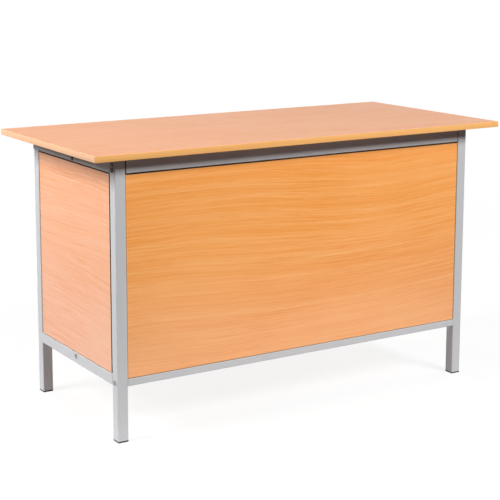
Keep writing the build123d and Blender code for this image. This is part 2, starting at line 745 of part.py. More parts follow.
# ---------------------------------------------------------------- handles
def bow_handle(plane):
    """A flat bar arched between two feet; the plane's X runs along it and Y away from the front."""
    half = handle_pitch / 2
    with BuildPart() as bow:
        with BuildSketch(plane) as profile:
            with BuildLine():
                Line((-half - handle_foot / 2, 0), (-half + handle_foot / 2, 0))
                ThreePointArc((-half + handle_foot / 2, 0), (0, handle_rise - handle_bar),
                              (half - handle_foot / 2, 0))
                Line((half - handle_foot / 2, 0), (half + handle_foot / 2, 0))
                Line((half + handle_foot / 2, 0), (half + handle_foot / 2, handle_bar))
                ThreePointArc((half + handle_foot / 2, handle_bar), (0, handle_rise),
                              (-half - handle_foot / 2, handle_bar))
                Line((-half - handle_foot / 2, handle_bar), (-half - handle_foot / 2, 0))
            make_face()
        extrude(profile.sketch, amount=handle_width / 2, both=True)
    return bow


drawer_handle = bow_handle(Plane(origin=(pedestal_middle, pedestal_front, handle_drawer_z),
                                 x_dir=(1, 0, 0), z_dir=(0, 0, 1)))
save(drawer_handle, "drawer_handle")

door_handle = bow_handle(Plane(origin=(door_handle_x, pedestal_front, door_handle_z),
                               x_dir=(0, 0, 1), z_dir=(-1, 0, 0)))
save(door_handle, "door_handle")

# ---------------------------------------------------------------- locks
core_front = pedestal_front + lock_flange_height - lock_core_recess
housing_back = front_back_face - lock_nut_thickness
core_back = housing_back - lock_core_tail
tongue_back = core_back - tongue_play - tongue_thickness

for name, (lock_x, lock_z) in (("drawer", drawer_lock), ("door", door_lock)):
    with BuildPart() as lock_housing:
        with BuildSketch(Plane(origin=(lock_x, housing_back, lock_z), z_dir=rearward)):
            Circle(lock_barrel_radius)
            Circle(lock_core_radius + lock_core_play, mode=Mode.SUBTRACT)
        extrude(amount=pedestal_front - housing_back)
        with BuildSketch(Plane(origin=(lock_x, pedestal_front, lock_z), z_dir=rearward)):
            Circle(lock_flange_radius)
            Circle(lock_core_radius + lock_core_play, mode=Mode.SUBTRACT)
        extrude(amount=lock_flange_height)
        with BuildSketch(Plane(origin=(lock_x, housing_back, lock_z), z_dir=rearward)):
            RegularPolygon(lock_nut / 2, 6, major_radius=False)
            Circle(lock_barrel_radius + lock_thread_play, mode=Mode.SUBTRACT)
        extrude(amount=lock_nut_thickness)
    save(lock_housing, f"{name}_lock_housing")

    with BuildPart() as lock_core:
        with BuildSketch(Plane(origin=(lock_x, core_back, lock_z), z_dir=rearward)):
            Circle(lock_core_radius)
        extrude(amount=core_front - core_back)
        with BuildSketch(Plane(origin=(lock_x, core_front, lock_z), x_dir=(1, 0, 0),
                               z_dir=rearward)):
            Rectangle(*key_slot)
        extrude(amount=-key_slot_depth, mode=Mode.SUBTRACT)
        with BuildSketch(Plane(origin=(lock_x, core_back, lock_z), x_dir=(1, 0, 0),
                               z_dir=frontward)):
            Rectangle(tongue_square, tongue_square)
        extrude(amount=tongue_thickness + 2 * tongue_play)
        with BuildSketch(Plane(origin=(lock_x, tongue_back - tongue_play, lock_z),
                               z_dir=frontward)):
            Circle(tongue_nut_radius)
        extrude(amount=tongue_nut_thickness)
    save(lock_core, f"{name}_lock_core")

    with BuildPart() as lock_tongue:
        with BuildSketch(Plane(origin=(lock_x, tongue_back, lock_z), x_dir=(1, 0, 0),
                               z_dir=frontward)):
            Circle(tongue_width / 2)
            with Locations((-tongue_length / 2, 0)):
                Rectangle(tongue_length, tongue_width)
            Rectangle(tongue_square + tongue_square_play, tongue_square + tongue_square_play,
                      mode=Mode.SUBTRACT)
        extrude(amount=-tongue_thickness)
        fillet(edges().filter_by(Axis.Y).group_by(Axis.X)[0], tongue_round)
    save(lock_tongue, f"{name}_lock_tongue")

strike_back = front_back_face - strike_gap
strike_front = strike_back - strike_foot
with BuildPart() as lock_strikes:
    for strike_x, ceiling in ((drawer_lock[0], cabinet_top), (door_lock[0], divider_bottom)):
        slab(Plane.XY.offset(ceiling - strike_sheet), (strike_x - strike_width / 2, strike_front),
             (strike_x + strike_width / 2, strike_back), strike_sheet)
        slab(Plane.XY.offset(ceiling - strike_drop),
             (strike_x - strike_width / 2, strike_back - strike_sheet),
             (strike_x + strike_width / 2, strike_back), strike_drop)
save(lock_strikes, "lock_strikes")
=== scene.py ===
"""Finishes, fastenings and studio setting of a steel-framed beech teacher's desk."""

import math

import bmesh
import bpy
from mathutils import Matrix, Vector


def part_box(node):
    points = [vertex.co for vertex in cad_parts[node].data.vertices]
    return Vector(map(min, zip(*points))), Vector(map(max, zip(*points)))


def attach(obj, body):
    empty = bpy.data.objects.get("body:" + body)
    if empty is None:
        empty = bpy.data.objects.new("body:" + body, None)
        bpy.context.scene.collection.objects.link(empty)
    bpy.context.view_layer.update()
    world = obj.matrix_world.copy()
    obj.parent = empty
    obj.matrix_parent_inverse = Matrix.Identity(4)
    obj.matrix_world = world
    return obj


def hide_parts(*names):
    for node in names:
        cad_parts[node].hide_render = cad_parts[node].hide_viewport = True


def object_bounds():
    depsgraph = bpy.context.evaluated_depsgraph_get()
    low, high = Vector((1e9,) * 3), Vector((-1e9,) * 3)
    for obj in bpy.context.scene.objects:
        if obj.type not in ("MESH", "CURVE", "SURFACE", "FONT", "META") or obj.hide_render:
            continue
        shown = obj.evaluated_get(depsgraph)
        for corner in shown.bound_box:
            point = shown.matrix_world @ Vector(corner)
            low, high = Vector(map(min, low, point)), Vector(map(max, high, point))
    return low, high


bl_info = {
    "name": "Teacher Desk",
    "version": (1, 0, 0),
    "blender": (4, 5, 0),
    "location": "View3D > Sidebar > Desk",
    "description": "Finishes and details of a steel-framed beech teacher's desk",
    "category": "Object",
}

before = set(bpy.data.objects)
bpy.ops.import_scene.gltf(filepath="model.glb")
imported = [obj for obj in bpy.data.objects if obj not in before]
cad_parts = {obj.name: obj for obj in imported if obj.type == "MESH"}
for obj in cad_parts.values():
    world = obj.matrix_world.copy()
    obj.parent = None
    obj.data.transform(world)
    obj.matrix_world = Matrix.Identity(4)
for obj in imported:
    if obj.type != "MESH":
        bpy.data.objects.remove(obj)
bpy.context.view_layer.update()
cad_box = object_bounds()

mm = 0.001
same_point = 0.01 * mm            # corners nearer than this are one
turn_step = math.radians(37)      # screws stop at different angles
bolt_crown = ((1, 0.34), (0.95, 0.58), (0.86, 0.78), (0.74, 0.92), (0.6, 1))
screw_crown = ((1, 0.35), (0.93, 0.65), (0.78, 0.88), (0.6, 1))


# ------------------------------------------------------------------ settings
def colour(name, description, *value):
    """A colour setting."""
    return bpy.props.FloatVectorProperty(
        name=name, description=description, default=(*value, 1.0), size=4,
        subtype="COLOR", min=0.0, max=1.0)


def length(name, description, value):
    """A length setting, in metres."""
    return bpy.props.FloatProperty(
        name=name, description=description, default=value, min=0.0, unit="LENGTH",
        subtype="DISTANCE", precision=4)


def angle(name, description, degrees):
    """An angle setting."""
    return bpy.props.FloatProperty(
        name=name, description=description, default=math.radians(degrees),
        unit="ROTATION", subtype="ANGLE")


def share(name, description, value, most=1.0):
    """A plain number setting."""
    return bpy.props.FloatProperty(
        name=name, description=description, default=value, min=0.0, max=most)


class DeskBoards(bpy.types.PropertyGroup):
    """Colours and figure of the boards"""
    pale: colour("Beech", "Ground colour of the beech boards", 0.965, 0.455, 0.148)
    tone: colour("Beech bands", "Broad darker bands of the beech", 0.93, 0.385, 0.096)
    line: colour("Beech lines", "Fine lines and flecks of the beech", 0.82, 0.265, 0.028)
    # Painted shade: the worktop's beech is darker than the panels', to offset the stronger
    # light the lamps throw on the top.
    top_shaded_pale: colour("Worktop", "Ground colour of the worktop", 0.555, 0.263, 0.122)
    top_shaded_tone: colour("Worktop bands", "Broad bands of the worktop", 0.548, 0.232, 0.096)
    top_shaded_line: colour("Worktop lines", "Fine lines of the worktop", 0.50, 0.150, 0.024)
    # Painted sheen: the side panels get a paler, greyer copy of the beech, standing in for the
    # sheen the light puts on their faces.
    side_sheened_pale: colour("Side panel", "Ground colour of the side panels", 0.83, 0.448, 0.282)
    side_sheened_tone: colour("Sheened side panel bands", "Broad bands of the side panels", 0.815, 0.40, 0.232)
    side_sheened_line: colour("Sheened side panel lines", "Fine lines of the side panels", 0.72, 0.260, 0.070)
    edging: colour("Worktop edging", "Edging along the worktop's long sides",
                   0.92, 0.482, 0.170)
    # Painted sheen: the edging across the ends is a greyer, less orange copy of the long
    # sides' edging, for the light and sheen on the ends.
    end_edging_sheened: colour("Sheened end edging", "Edging across the worktop's ends", 0.77, 0.465, 0.285)
    edging_line: colour("Edging lines", "Share of the edging's colour left in its lines",
                        0.84, 0.74, 0.58)
    white: colour("Faced board", "Colour of the drawer's boards", 0.74, 0.72, 0.67)
    hardboard: colour("Hardboard", "Colour of the thin back and bottom", 0.70, 0.67, 0.60)
    # Painted shade: the panel edging is near black-brown, so the gaps round the panels read as
    # shadowed slots.
    panel_edging: colour("Panel edging", "Edging round the panels", 0.14, 0.075, 0.035)
    # Painted reflection: the boards fade to a pale lilac low down, standing in for the pale
    # floor reflected in them.
    floor_reflection: colour("Floor reflection colour", "Colour that the boards fade to low down", 0.70, 0.66, 0.78)
    reflection_share: share("Floor reflection", "How far the boards fade at their lowest", 0.115)
    reflection_full_below: length("Floor reflection full", "Height below which the fading is full", 0.12)
    reflection_start: length("Floor reflection start", "Height at which the fading begins", 0.56)
    band_spacing: length("Band spacing", "Width of the beech's broad bands", 0.022)
    drift: length("Drift", "How far the figure wanders across a board", 0.11)
    roughness: share("Board roughness", "Roughness of the boards' faces", 0.36)
    edging_radius: length("Edging radius", "Rounding of the worktop's edges", 0.0004)


class DeskMetals(bpy.types.PropertyGroup):
    """Colours and sizes of the steel, plated and plastic pieces"""
    paint: colour("Frame paint", "Powder coat of the frame", 0.540, 0.542, 0.556)
    # Painted shade: a darker paint colour for the lower rails' top ledges, in place of the
    # shade there.
    ledge_shade: colour("Ledge shade", "Painted shade on the ledges of the lower rails", 0.30, 0.295, 0.30)
    runner: colour("Runner paint", "Coating of the drawer runners", 0.76, 0.76, 0.74)
    bolt: colour("Bolts", "Plated bolts of the lower rails", 0.40, 0.39, 0.38)
    # Painted shade: the top rails' bolts are darkened, standing in for the shade and dark
    # reflections under the worktop.
    shaded_top_bolt: colour("Shaded top bolts", "Top rail bolts darkened as painted shade", 0.07, 0.06, 0.055)
    zinc: colour("Zinc", "Plated screws", 0.55, 0.54, 0.51)
    nickel: colour("Nickel", "Locks, hinges and strikes", 0.66, 0.65, 0.62)
    handle: colour("Handles", "Satin handles", 0.60, 0.60, 0.60)
    black: colour("Black plastic", "Plugs, caps and feet", 0.018, 0.018, 0.019)
    nylon: colour("Nylon", "Drawer rollers", 0.74, 0.72, 0.65)
    recess_arm: length("Recess arm", "Half length of a bolt's cross recess", 0.0030)
    recess_half: length("Recess half width", "Half width of a bolt's recess arms", 0.0010)
    recess_depth: length("Recess depth", "Depth of a bolt's cross recess", 0.0018)
    screw_radius: length("Screw head", "Radius of the small screw heads", 0.0042)
    screw_height: length("Screw height", "Height of the small screw heads", 0.0022)
    bead_width: length("Weld width", "Width of a weld bead", 0.005)
    bead_height: length("Weld height", "How far a weld bead stands proud", 0.0009)


class DeskStudio(bpy.types.PropertyGroup):
    """Camera, floor and lights"""
    place: bpy.props.FloatVectorProperty(
        name="Camera", description="Place of the camera", size=3, unit="LENGTH",
        subtype="TRANSLATION", default=(-2.0537, -3.2302, 1.2607))
    heading: angle("Heading", "Camera's turn from the desk's depth to its right", 31.381)
    tilt: angle("Tilt", "How far the camera looks down", 9.362)
    lens: bpy.props.FloatProperty(name="Lens", description="Focal length in millimetres",
                                  default=97.27, min=1.0)
    shift_x: bpy.props.FloatProperty(name="Shift across", default=0.04,
                                     description="Sideways shift of the picture")
    shift_y: bpy.props.FloatProperty(name="Shift up", default=-0.16,
                                     description="Upward shift of the picture")
    key: share("Key light", "Level of the light from the left", 1.18, 4.0)
    front: share("Front light", "Level of the light from the front", 1.12, 4.0)
    rear: share("Rear light", "Level of the light from behind", 0.58, 4.0)
    side: share("Side light", "Level of the light from the right", 0.34, 4.0)
    sky: share("Surroundings", "Level of the even light all round", 0.0, 4.0)
    floor: colour("Floor", "Colour of the floor", 0.92, 0.92, 0.92)
    floor_bounce: colour("Floor bounce", "Colour that the floor throws back", 0.6, 0.6, 0.6)
    floor_far: colour("Far bounce", "Colour thrown back further off", 0.03, 0.03, 0.03)
    floor_clear: share("Floor brightness", "How much of the floor shows plain white", 0.85)
    clear_from: length("Floor fade start", "Where the floor begins to fade to white", 1.6)
    clear_to: length("Floor fade end", "Where the floor is plain white", 4.0)
    bounce_from: length("Bounce fade start", "Where the floor's bounce begins to fade", 0.5)
    bounce_to: length("Bounce fade end", "Where the floor's bounce is the far one", 1.15)
    floor_size: length("Floor size", "Side of the floor", 30.0)


settings_groups = {"desk_boards": DeskBoards, "desk_metals": DeskMetals,
                   "desk_studio": DeskStudio}


# ------------------------------------------------------------------ shader building
def node(tree, kind, links=None, **settings):
    """A shader node; links gives its sockets a value or another node's output."""
    made = tree.nodes.new("ShaderNode" + kind)
    for name, value in settings.items():
        setattr(made, name, value)
    for socket, value in (links or {}).items():
        if isinstance(value, bpy.types.NodeSocket):
            tree.links.new(value, made.inputs[socket])
        else:
            made.inputs[socket].default_value = value
    return made


def calc(tree, operation, first, second):
    """The result of a sum on two numbers or sockets."""
    return node(tree, "Math", {0: first, 1: second}, operation=operation).outputs[0]


def mixed(tree, factor, first, second, blend="MIX"):
    """Two colours mixed by a factor."""
    return node(tree, "Mix", {0: factor, 6: first, 7: second}, data_type="RGBA",
                blend_type=blend).outputs[2]


def ranged(tree, value, low, high, to_low=0.0, to_high=1.0):
    """A value taken from one range to another, with soft ends."""
    return node(tree, "MapRange", {0: value, 1: low, 2: high, 3: to_low, 4: to_high},
                interpolation_type="SMOOTHSTEP").outputs[0]


def stretched_noise(tree, vector, frequency, detail=2.0, roughness=0.5):
    """Noise with its own number of waves per metre along each axis."""
    scaled = node(tree, "VectorMath", {0: vector, 1: frequency}, operation="MULTIPLY")
    return node(tree, "TexNoise", {"Vector": scaled.outputs[0], "Scale": 1.0,
                                   "Detail": detail, "Roughness": roughness}).outputs["Fac"]


socket_kinds = {"vector": "NodeSocketVector", "colour": "NodeSocketColor",
                "number": "NodeSocketFloat"}


def new_group(name, inputs, outputs):
    """An empty node group: its tree, what it is given and what it puts out."""
    tree = bpy.data.node_groups.new(name, "ShaderNodeTree")
    for direction, sockets in (("INPUT", inputs), ("OUTPUT", outputs)):
        for label, kind in sockets.items():
            tree.interface.new_socket(name=label, in_out=direction,
                                      socket_type=socket_kinds[kind])
    given = tree.nodes.new("NodeGroupInput").outputs
    result = tree.nodes.new("NodeGroupOutput").inputs
    return tree, given, result


def build_beech_figure():
    """Beech: wandering bands and lines, fine fibres and short dark flecks.

    The vector's X runs along the grain and its Y across it, in metres.
    """
    tree, given, result = new_group(
        "Beech figure",
        {"Vector": "vector", "Ground": "colour", "Bands": "colour", "Lines": "colour",
         "Spacing": "number", "Drift": "number"},
        {"Color": "colour", "Rough": "number", "Height": "number"})
    sway = stretched_noise(tree, given["Vector"], (1.1, 2.6, 1.0), 1.0)
    ripple = stretched_noise(tree, given["Vector"], (7.0, 14.0, 1.0), 2.0)
    wander = calc(tree, "ADD", calc(tree, "SUBTRACT", sway, 0.5),
                  calc(tree, "MULTIPLY", calc(tree, "SUBTRACT", ripple, 0.5), 0.07))
    moved = calc(tree, "MULTIPLY", wander, given["Drift"])
    axes = node(tree, "SeparateXYZ", {0: given["Vector"]}).outputs
    flow = calc(tree, "ADD", axes["Y"], moved)
    flow_point = node(tree, "CombineXYZ", {"X": axes["X"], "Y": flow,
                                           "Z": axes["Z"]}).outputs[0]
    bands_across = calc(tree, "DIVIDE", flow, given["Spacing"])
    band_point = node(tree, "CombineXYZ", {"X": axes["X"], "Y": bands_across}).outputs[0]
    band = stretched_noise(tree, band_point, (0.8, 1.0, 1.0), 2.0, 0.55)
    line = stretched_noise(tree, band_point, (1.5, 3.6, 1.0), 2.0, 0.6)
    streak = stretched_noise(tree, band_point, (4.0, 9.0, 1.0), 3.0, 0.75)
    fibre = stretched_noise(tree, flow_point, (10.0, 380.0, 0.0), 2.0, 0.7)
    fleck = stretched_noise(tree, flow_point, (150.0, 1300.0, 0.0), 0.0)
    patch = stretched_noise(tree, given["Vector"], (2.5, 7.0, 0.0), 1.0)

    ground = mixed(tree, ranged(tree, band, 0.30, 0.70), given["Ground"], given["Bands"])
    strength = ranged(tree, patch, 0.3, 0.7, 0.45, 1.0)
    rings = calc(tree, "MULTIPLY", ranged(tree, line, 0.46, 0.66, 0.0, 0.5), strength)
    lined = mixed(tree, rings, ground, given["Lines"])
    streaks = calc(tree, "MULTIPLY", ranged(tree, streak, 0.44, 0.62, 0.0, 0.66), strength)
    lined = mixed(tree, streaks, lined, given["Lines"])
    fibres = calc(tree, "MULTIPLY", ranged(tree, fibre, 0.47, 0.70, 0.0, 0.58), strength)
    grained = mixed(tree, fibres, lined, given["Lines"])
    fleck_mask = ranged(tree, fleck, 0.62, 0.72)
    flecked = mixed(tree, calc(tree, "MULTIPLY", fleck_mask, 0.32), grained,
                    given["Lines"])
    tree.links.new(flecked, result["Color"])
    tree.links.new(calc(tree, "ADD", fibres, calc(tree, "MULTIPLY", fleck_mask, 0.2)),
                   result["Rough"])
    tree.links.new(calc(tree, "SUBTRACT", fibre, fleck_mask), result["Height"])
    return tree


def build_fine_texture():
    """The even texture of paint and mouldings: peel, speckle and faint handling marks."""
    tree, given, result = new_group(
        "Fine texture",
        {"Vector": "vector", "Colour": "colour", "Waves": "number", "Speckle": "number",
         "Roughness": "number"},
        {"Color": "colour", "Roughness": "number", "Height": "number"})
    waves = node(tree, "CombineXYZ", {"X": given["Waves"], "Y": given["Waves"],
                                      "Z": given["Waves"]}).outputs[0]
    peel = stretched_noise(tree, given["Vector"], waves, 2.0, 0.55)
    cloud = stretched_noise(tree, given["Vector"], (9.0, 9.0, 9.0), 3.0, 0.6)
    smear = stretched_noise(tree, given["Vector"], (28.0, 28.0, 12.0), 4.0, 0.65)
    uneven = calc(tree, "ADD", calc(tree, "SUBTRACT", peel, 0.5),
                  calc(tree, "SUBTRACT", cloud, 0.5))
    level = calc(tree, "ADD", calc(tree, "MULTIPLY", uneven, given["Speckle"]), 1.0)
    shade = node(tree, "CombineColor", {0: level, 1: level, 2: level}).outputs[0]
    tree.links.new(mixed(tree, 1.0, given["Colour"], shade, "MULTIPLY"), result["Color"])
    marks = ranged(tree, smear, 0.35, 0.75, -0.05, 0.09)
    tree.links.new(calc(tree, "ADD", given["Roughness"], marks), result["Roughness"])
    tree.links.new(peel, result["Height"])
    return tree


def build_brushed_metal():
    """Plated or satin metal: brushing along one axis and faint tarnish."""
    tree, given, result = new_group(
        "Brushed metal",
        {"Vector": "vector", "Colour": "colour", "Brushing": "vector",
         "Roughness": "number"},
        {"Color": "colour", "Roughness": "number", "Height": "number"})
    lines = stretched_noise(tree, given["Vector"], given["Brushing"], 3.0, 0.6)
    tarnish = stretched_noise(tree, given["Vector"], (160.0, 160.0, 160.0), 3.0, 0.6)
    dull = ranged(tree, tarnish, 0.35, 0.75, 0.0, 0.25)
    dark = mixed(tree, 1.0, given["Colour"], (0.62, 0.60, 0.56, 1.0), "MULTIPLY")
    brushed = mixed(tree, ranged(tree, lines, 0.3, 0.7, 0.0, 0.25), given["Colour"], dark)
    tree.links.new(mixed(tree, dull, brushed, dark), result["Color"])
    rough = calc(tree, "ADD", given["Roughness"], calc(tree, "MULTIPLY", dull, 0.5))
    tree.links.new(calc(tree, "ADD", rough, ranged(tree, lines, 0.3, 0.7, -0.04, 0.06)),
                   result["Roughness"])
    tree.links.new(lines, result["Height"])
    return tree


group_builders = {"Beech figure": build_beech_figure, "Fine texture": build_fine_texture,
                  "Brushed metal": build_brushed_metal}


def shared_group(name):
    """A shared node group, built the first time it is asked for."""
    return bpy.data.node_groups.get(name) or group_builders[name]()


def new_material(name, metallic=0.0, specular=0.5):
    """A material with a Principled shader: its tree and the shader."""
    material = bpy.data.materials.new(name)
    material.use_nodes = True
    tree = material.node_tree
    shader = tree.nodes["Principled BSDF"]
    shader.inputs["Metallic"].default_value = metallic
    shader.inputs["Specular IOR Level"].default_value = specular
    return material, tree, shader


def join_surface(tree, shader, made_colour, rough, height, depth):
    """Feed a colour, roughness and relief to the shader."""
    tree.links.new(made_colour, shader.inputs["Base Color"])
    tree.links.new(rough, shader.inputs["Roughness"])
    relief = node(tree, "Bump", {"Height": height, "Distance": depth, "Strength": 1.0})
    tree.links.new(relief.outputs["Normal"], shader.inputs["Normal"])


def beech(name, along, across, colours, start):
    """Beech with its grain along one of the desk's axes; start moves the figure."""
    boards = bpy.context.scene.desk_boards
    material, tree, shader = new_material(name)
    place = node(tree, "TexCoord").outputs["Object"]
    axes = node(tree, "SeparateXYZ", {0: place}).outputs
    turned = node(tree, "CombineXYZ", {"X": axes[along], "Y": axes[across]}).outputs[0]
    moved = node(tree, "Mapping", {"Vector": turned, "Location": (start, start, start)})
    figure = node(tree, "Group", {
        "Vector": moved.outputs[0], "Ground": colours[0], "Bands": colours[1],
        "Lines": colours[2], "Spacing": boards.band_spacing, "Drift": boards.drift,
    }, node_tree=shared_group("Beech figure")).outputs
    # Painted reflection of the floor: the beech fades towards the floor reflection colour
    # towards the bottom.
    faded = ranged(tree, axes["Z"], boards.reflection_full_below, boards.reflection_start, boards.reflection_share, 0.0)
    tint = mixed(tree, faded, figure["Color"], list(boards.floor_reflection))
    rough = calc(tree, "ADD", calc(tree, "MULTIPLY", figure["Rough"], 0.25), boards.roughness)
    join_surface(tree, shader, tint, rough, figure["Height"], depth=0.03 * mm)
    return material


def changed_above(tree, place, made_colour, upper):
    """The colour, changed to upper's own above upper's height."""
    height = node(tree, "SeparateXYZ", {0: place}).outputs["Z"]
    above = calc(tree, "GREATER_THAN", height, upper[0])
    return mixed(tree, above, made_colour, upper[1])


def plain(name, made_colour, waves, speckle, roughness, depth, specular=0.5, upper=None):
    """A painted or moulded surface; upper is a height and the colour above it."""
    material, tree, shader = new_material(name, specular=specular)
    place = node(tree, "TexCoord").outputs["Object"]
    if upper:
        made_colour = changed_above(tree, place, made_colour, upper)
    texture = node(tree, "Group", {
        "Vector": place, "Colour": made_colour, "Waves": waves, "Speckle": speckle,
        "Roughness": roughness,
    }, node_tree=shared_group("Fine texture")).outputs
    join_surface(tree, shader, texture["Color"], texture["Roughness"], texture["Height"],
                 depth)
    return material


def metal(name, made_colour, brushing, roughness, upper=None):
    """A bare or plated metal surface; upper is a height and the colour above it."""
    material, tree, shader = new_material(name, metallic=1.0)
    place = node(tree, "TexCoord").outputs["Object"]
    if upper:
        made_colour = changed_above(tree, place, made_colour, upper)
    texture = node(tree, "Group", {
        "Vector": place, "Colour": made_colour, "Brushing": brushing,
        "Roughness": roughness,
    }, node_tree=shared_group("Brushed metal")).outputs
    join_surface(tree, shader, texture["Color"], texture["Roughness"], texture["Height"],
                 depth=0.01 * mm)
    return material


def finish_nodes(material, *names):
    """Give these CAD nodes a material."""
    for name in names:
        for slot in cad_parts[name].material_slots:
            slot.material = material


def nodes_in_slot(slot_name):
    """CAD nodes that the record gives this material slot."""
    return [name for name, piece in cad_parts.items()
            if any(slot.material and slot.material.name == slot_name
                   for slot in piece.material_slots)]


# ------------------------------------------------------------------ mesh building
def solid_boxes(name):
    """Lowest and highest corner of each separate solid of a CAD node."""
    mesh = bmesh.new()
    mesh.from_mesh(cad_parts[name].data)
    bmesh.ops.remove_doubles(mesh, verts=mesh.verts, dist=same_point)
    left = set(mesh.verts)
    boxes = []
    while left:
        newest = {left.pop()}
        reached = set(newest)
        while newest:
            newest = {edge.other_vert(vert) for vert in newest
                      for edge in vert.link_edges} - reached
            reached |= newest
        left -= reached
        points = [vert.co for vert in reached]
        boxes.append((Vector(map(min, *points)), Vector(map(max, *points))))
    mesh.free()
    return sorted(boxes, key=lambda box: tuple(box[0]))


def facing(place, outward, turn):
    """Takes a piece built upwards from the origin to a place on a face."""
    upright = Vector(outward).to_track_quat("Z", "Y").to_matrix().to_4x4()
    return Matrix.Translation(place) @ upright @ Matrix.Rotation(turn, 4, "Z")


def add_block(mesh, low, high, radius, segments=3):
    """A box with rounded edges between two corners."""
    made = bmesh.ops.create_cube(mesh, size=1.0)["verts"]
    bmesh.ops.scale(mesh, vec=high - low, verts=made)
    bmesh.ops.translate(mesh, vec=(low + high) / 2, verts=made)
    edges = {edge for vert in made for edge in vert.link_edges}
    bmesh.ops.bevel(mesh, geom=list(edges), offset=radius, segments=segments,
                    profile=0.5, affect="EDGES", material=-1)


def add_turned(mesh, profile, steps=32):
    """A profile of (radius, height) points turned about the local Z axis."""
    verts = [mesh.verts.new((radius, 0, height)) for radius, height in profile]
    edges = [mesh.edges.new(pair) for pair in zip(verts, verts[1:])]
    bmesh.ops.spin(mesh, geom=verts + edges, cent=(0, 0, 0), axis=(0, 0, 1),
                   angle=math.tau, steps=steps, use_merge=True)
    bmesh.ops.remove_doubles(mesh, verts=mesh.verts, dist=same_point)


def pan_head(radius, height, crown):
    """Outline of a head; the crown's points are shares of its radius and height."""
    return [(radius, 0)] + [(radius * out, height * up) for out, up in crown]


def close_with_recess(mesh, height, arm, half, depth, narrowing=0.55):
    """Close the open top ring of a turned head with a cross recess."""
    ring = [edge for edge in mesh.edges if edge.is_boundary
            and all(abs(vert.co.z - height) < same_point for vert in edge.verts)]
    corner = [Vector((arm, -half, height)), Vector((arm, half, height)),
              Vector((half, half, height))]
    outline = [mesh.verts.new(Matrix.Rotation(quarter * math.pi / 2, 3, "Z") @ point)
               for quarter in range(4) for point in corner]
    rim = [mesh.edges.new(pair) for pair in zip(outline, outline[1:] + outline[:1])]
    bmesh.ops.triangle_fill(mesh, use_beauty=True, edges=ring + rim)
    walls = bmesh.ops.extrude_edge_only(mesh, edges=rim)["geom"]
    floor = [piece for piece in walls if isinstance(piece, bmesh.types.BMVert)]
    bmesh.ops.translate(mesh, vec=(0, 0, -depth), verts=floor)
    bmesh.ops.scale(mesh, vec=(narrowing, narrowing, 1.0), verts=floor)
    bmesh.ops.contextual_create(mesh, geom=[piece for piece in walls
                                            if isinstance(piece, bmesh.types.BMEdge)
                                            and piece.is_boundary])
    bmesh.ops.recalc_face_normals(mesh, faces=mesh.faces)


def pattern_mesh(name, mesh):
    """A small mesh to copy into place."""
    data = bpy.data.meshes.new(name)
    mesh.to_mesh(data)
    mesh.free()
    return data


def copies(pattern, places):
    """One mesh with a copy of the pattern at each place."""
    mesh = bmesh.new()
    for place in places:
        before = len(mesh.verts)
        mesh.from_mesh(pattern)
        mesh.verts.ensure_lookup_table()
        bmesh.ops.transform(mesh, matrix=place, verts=mesh.verts[before:])
    return mesh


def softened(node_name, radius, segments=2, sharp=30.0):
    """A copy of a CAD node with its sharp edges rounded."""
    mesh = bmesh.new()
    mesh.from_mesh(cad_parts[node_name].data)
    bmesh.ops.remove_doubles(mesh, verts=mesh.verts, dist=same_point)
    bmesh.ops.dissolve_limit(mesh, angle_limit=math.radians(1), verts=mesh.verts,
                             edges=mesh.edges)
    edges = [edge for edge in mesh.edges if edge.is_manifold
             and edge.calc_face_angle() > math.radians(sharp)]
    bmesh.ops.bevel(mesh, geom=edges, offset=radius, segments=segments, profile=0.5,
                    affect="EDGES", material=-1, clamp_overlap=True)
    return mesh


def finish_piece(name, mesh, body, material, replaced=(), smooth=40.0):
    """Make the object, with its material, its body and the nodes it stands for."""
    data = bpy.data.meshes.new(name)
    mesh.to_mesh(data)
    mesh.free()
    data.polygons.foreach_set("use_smooth", [True] * len(data.polygons))
    data.set_sharp_from_angle(angle=math.radians(smooth))
    data.materials.append(material)
    piece = bpy.data.objects.new(name, data)
    bpy.context.scene.collection.objects.link(piece)
    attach(piece, body)
    if replaced:
        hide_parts(*replaced)
    return piece


def small_screw():
    """A pan head wood screw's head, built upwards from the face it sits on."""
    metals = bpy.context.scene.desk_metals
    radius, height = metals.screw_radius, metals.screw_height
    shank, sunk = radius / 2, -0.5 * mm
    mesh = bmesh.new()
    add_turned(mesh, [(0, sunk), (shank, sunk), (shank, 0),
                      *pan_head(radius, height, screw_crown)], steps=24)
    close_with_recess(mesh, height, arm=radius * 0.5, half=radius * 0.11,
                      depth=height * 0.6)
    return pattern_mesh("small_screw", mesh)


def screws(name, body, faces, flat=1.0):
    """Small screw heads on faces given as (place, outward); flat scales their height."""
    pattern = bpy.data.meshes.get("small_screw") or small_screw()
    squash = Matrix.Diagonal((1, 1, flat, 1))
    mesh = copies(pattern, [facing(place, outward, index * turn_step) @ squash
                            for index, (place, outward) in enumerate(faces)])
    return finish_piece(name, mesh, body, bpy.data.materials["Zinc"])


